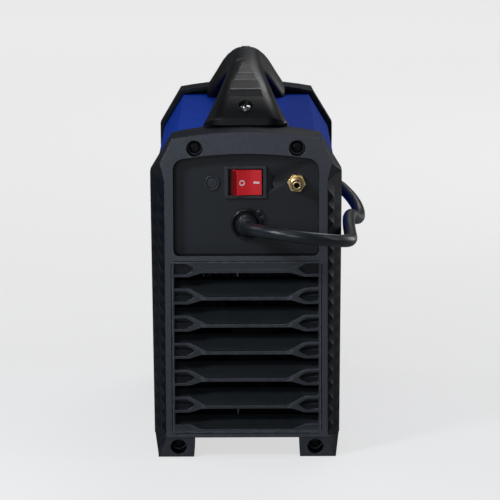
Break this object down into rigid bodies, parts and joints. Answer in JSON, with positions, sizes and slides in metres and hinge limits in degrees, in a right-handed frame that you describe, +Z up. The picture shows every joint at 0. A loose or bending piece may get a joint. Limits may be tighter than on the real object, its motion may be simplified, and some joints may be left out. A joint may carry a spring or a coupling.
{
  "type": "mig welder",
  "caption": "Compact inverter MIG welder on moulded feet: blue steel body, black end frames with louvres, top handle, rear switch, gas inlet and mains cord.",
  "frame": {"origin": "middle of the machine on the surface it stands on", "axes": "+Z up, -Y towards the control panel, +Y towards the mains side, +X towards the door"},
  "size_m": [0.1657, 0.5713, 0.2926],
  "materials": {
    "frame_plastic": "black moulded plastic with a fine spark-eroded texture",
    "panel_plastic": "black moulded plastic, finely textured",
    "trim_plastic": "black satin plastic",
    "red_plastic": "glossy red plastic",
    "blue_paint": "blue powder coat on sheet steel",
    "brass": "turned brass",
    "zinc_steel": "bright zinc-plated steel",
    "sheet_steel": "galvanised sheet steel",
    "cast_black": "black-painted die casting",
    "aluminium": "extruded aluminium",
    "copper": "copper-coated wire",
    "circuit_board": "green solder mask",
    "capacitor_sleeve": "black shrink sleeve",
    "lens": "dark tinted lens",
    "rubber": "black rubber cable sheath"
  },
  "bodies": {
    "housing": {"base_tray": "sheet_steel", "blanking_plug": "trim_plastic", "body_cover": "blue_paint", "cable_gland": "trim_plastic", "capacitor": "capacitor_sleeve", "control_board": "circuit_board", "display_window": "lens", "fan_housing": "trim_plastic", "feed_motor": "zinc_steel", "feed_plate": "cast_black", "front_frame": "frame_plastic", "front_frame_screw_lower_left": "zinc_steel", "front_frame_screw_lower_right": "zinc_steel", "front_frame_screw_upper_left": "zinc_steel", "front_frame_screw_upper_right": "zinc_steel", "front_panel": "panel_plastic", "gas_hose": "rubber", "gas_inlet": "brass", "gas_valve": "trim_plastic", "handle": "frame_plastic", "handle_screw_front": "zinc_steel", "handle_screw_rear": "zinc_steel", "heatsink": "aluminium", "hinge_pin_lower": "zinc_steel", "hinge_pin_upper": "zinc_steel", "mains_cord": "rubber", "mains_cord_coil": "rubber", "mains_cord_tail": "rubber", "mains_plug": "rubber", "negative_socket": "trim_plastic", "output_inductor": "copper", "partition": "sheet_steel", "positive_socket": "trim_plastic", "power_board": "circuit_board", "rear_frame": "frame_plastic", "rear_frame_screw_lower_left": "zinc_steel", "rear_frame_screw_lower_right": "zinc_steel", "rear_frame_screw_upper_left": "zinc_steel", "rear_frame_screw_upper_right": "zinc_steel", "rear_grille": "frame_plastic", "rear_panel": "panel_plastic", "spool_hub": "trim_plastic", "spool_nut": "trim_plastic", "switch_housing": "trim_plastic", "torch_socket": "brass", "transformer": "sheet_steel"},
    "rocker": {"power_rocker": "red_plastic"},
    "fan": {"fan_rotor": "trim_plastic"},
    "spool": {"wire_spool": "trim_plastic", "welding_wire": "copper"},
    "drive": {"drive_roll": "zinc_steel"},
    "arm": {"pressure_arm": "cast_black"},
    "press_roll": {"pressure_roll": "zinc_steel"},
    "tension": {"tension_knob": "trim_plastic"},
    "door": {"side_door": "blue_paint"},
    "latch": {"door_latch": "trim_plastic"},
    "voltage": {"voltage_knob": "trim_plastic"},
    "wire_speed": {"wire_speed_knob": "trim_plastic"},
    "mode": {"mode_button": "red_plastic"},
    "inch": {"wire_inch_button": "red_plastic"}
  },
  "joints": [
    {"name": "power_rocker_tilt", "type": "hinge", "parent": "housing", "child": "rocker", "pos_m": [0.0003, 0.1525, 0.2097], "axis": [0, 0, -1], "range_deg": [0, 20]},
    {"name": "fan_spin", "type": "hinge", "parent": "housing", "child": "fan", "pos_m": [-0.004, 0.13, 0.085], "axis": [0, 1, 0], "continuous": true},
    {"name": "spool_spin", "type": "hinge", "parent": "housing", "child": "spool", "pos_m": [0.0339, 0.035, 0.165], "axis": [1, 0, 0], "continuous": true},
    {"name": "drive_roll_spin", "type": "hinge", "parent": "housing", "child": "drive", "pos_m": [0.033, -0.07, 0.1], "axis": [1, 0, 0], "continuous": true},
    {"name": "pressure_arm_lift", "type": "hinge", "parent": "housing", "child": "arm", "pos_m": [0.035, -0.104, 0.134], "axis": [1, 0, 0], "range_deg": [0, 60]},
    {"name": "pressure_roll_spin", "type": "hinge", "parent": "arm", "child": "press_roll", "pos_m": [0.033, -0.07, 0.1269], "axis": [1, 0, 0], "continuous": true},
    {"name": "tension_knob_turn", "type": "hinge", "parent": "arm", "child": "tension", "pos_m": [0.0366, -0.044, 0.15], "axis": [0, 0, 1], "range_deg": [0, 720]},
    {"name": "side_door_swing", "type": "hinge", "parent": "housing", "child": "door", "pos_m": [0.0701, -0.1178, 0.1175], "axis": [0, 0, -1], "range_deg": [0, 100]},
    {"name": "door_latch_turn", "type": "hinge", "parent": "door", "child": "latch", "pos_m": [0.0682, 0.112, 0.118], "axis": [1, 0, 0], "range_deg": [0, 90]},
    {"name": "voltage_knob_turn", "type": "hinge", "parent": "housing", "child": "voltage", "pos_m": [-0.03, -0.16, 0.156], "axis": [0, -1, 0], "range_deg": [-150, 150]},
    {"name": "wire_speed_knob_turn", "type": "hinge", "parent": "housing", "child": "wire_speed", "pos_m": [0.03, -0.16, 0.156], "axis": [0, -1, 0], "range_deg": [-150, 150]},
    {"name": "mode_button_press", "type": "slide", "parent": "housing", "child": "mode", "axis": [0, 1, 0], "range_m": [0, 0.0012], "stiffness_N_per_m": 400},
    {"name": "wire_inch_button_press", "type": "slide", "parent": "housing", "child": "inch", "axis": [0, 1, 0], "range_m": [0, 0.0012], "stiffness_N_per_m": 400}
  ],
  "couplings": [
    {"joint": "drive_roll_spin", "follows": "spool_spin", "ratio": -2.8},
    {"joint": "pressure_roll_spin", "follows": "spool_spin", "ratio": 3.8182}
  ]
}
